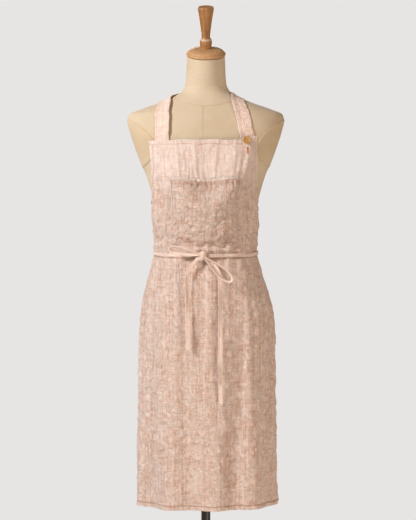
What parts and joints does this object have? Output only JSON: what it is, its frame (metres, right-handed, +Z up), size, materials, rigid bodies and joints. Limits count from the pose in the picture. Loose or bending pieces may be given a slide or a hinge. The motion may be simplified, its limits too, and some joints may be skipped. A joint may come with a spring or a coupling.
{
  "type": "apron on a dress form",
  "caption": "Linen bib apron with a pocket, halter strap and tied bow, worn by a jersey-covered dress form that turns and rises on a clamped pole with a round base.",
  "frame": {"origin": "on the floor, on the axis of the pole", "axes": "+Z up along the pole, front of the apron towards -Y, +X to the viewer's right"},
  "size_m": [0.3798, 0.34, 1.6418],
  "materials": {
    "jersey": "matte stretched cotton jersey",
    "linen": "washed slub linen, rose and ecru",
    "paper_shell": "moulded layered paper",
    "turned_wood": "waxed turned wood, worn",
    "plain_wood": "plain sanded wood",
    "button_wood": "satin turned shell or wood",
    "thread": "cotton thread",
    "black_metal": "satin black powder coat",
    "screw_steel": "zinc-plated steel",
    "black_plastic": "moulded black nylon",
    "felt": "grey felt"
  },
  "bodies": {
    "stand": {"base_plate": "black_metal", "base_pad": "felt", "tube_socket": "black_metal", "base_screws": "screw_steel", "lower_tube": "black_metal", "guide_bush": "black_plastic", "clamp_collar": "black_metal"},
    "clamp": {"clamp_screw": "screw_steel", "clamp_knob": "black_plastic"},
    "mast": {"upper_pole": "black_metal", "pole_end_plug": "black_plastic", "pole_foot_plug": "black_plastic"},
    "form": {"form_body": "paper_shell", "form_cover": "jersey", "arm_plate_left": "jersey", "arm_plate_right": "jersey", "neck_block": "plain_wood", "neck_cap": "turned_wood", "cap_finial": "turned_wood", "finial_dowel": "plain_wood", "base_board": "plain_wood", "pole_flange": "black_metal", "flange_screws": "screw_steel", "apron_panel": "linen", "bib_pocket": "linen", "neck_strap": "linen", "strap_button": "button_wood", "button_thread": "thread", "waist_tie_left": "linen", "waist_tie_right": "linen", "bow_knot": "linen", "bow_loop_left": "linen", "bow_loop_right": "linen", "tie_tail_left": "linen", "tie_tail_right": "linen"}
  },
  "joints": [
    {"name": "stand_height", "type": "slide", "parent": "stand", "child": "mast", "axis": [0, 0, 1], "range_m": [-0.08, 0.15]},
    {"name": "form_turn", "type": "hinge", "parent": "mast", "child": "form", "pos_m": [0, 0, 1], "axis": [0, 0, 1], "continuous": true},
    {"name": "clamp_turn", "type": "hinge", "parent": "stand", "child": "clamp", "pos_m": [0.03, 0, 0.334], "axis": [1, 0, 0], "range_deg": [0, 360]}
  ]
}
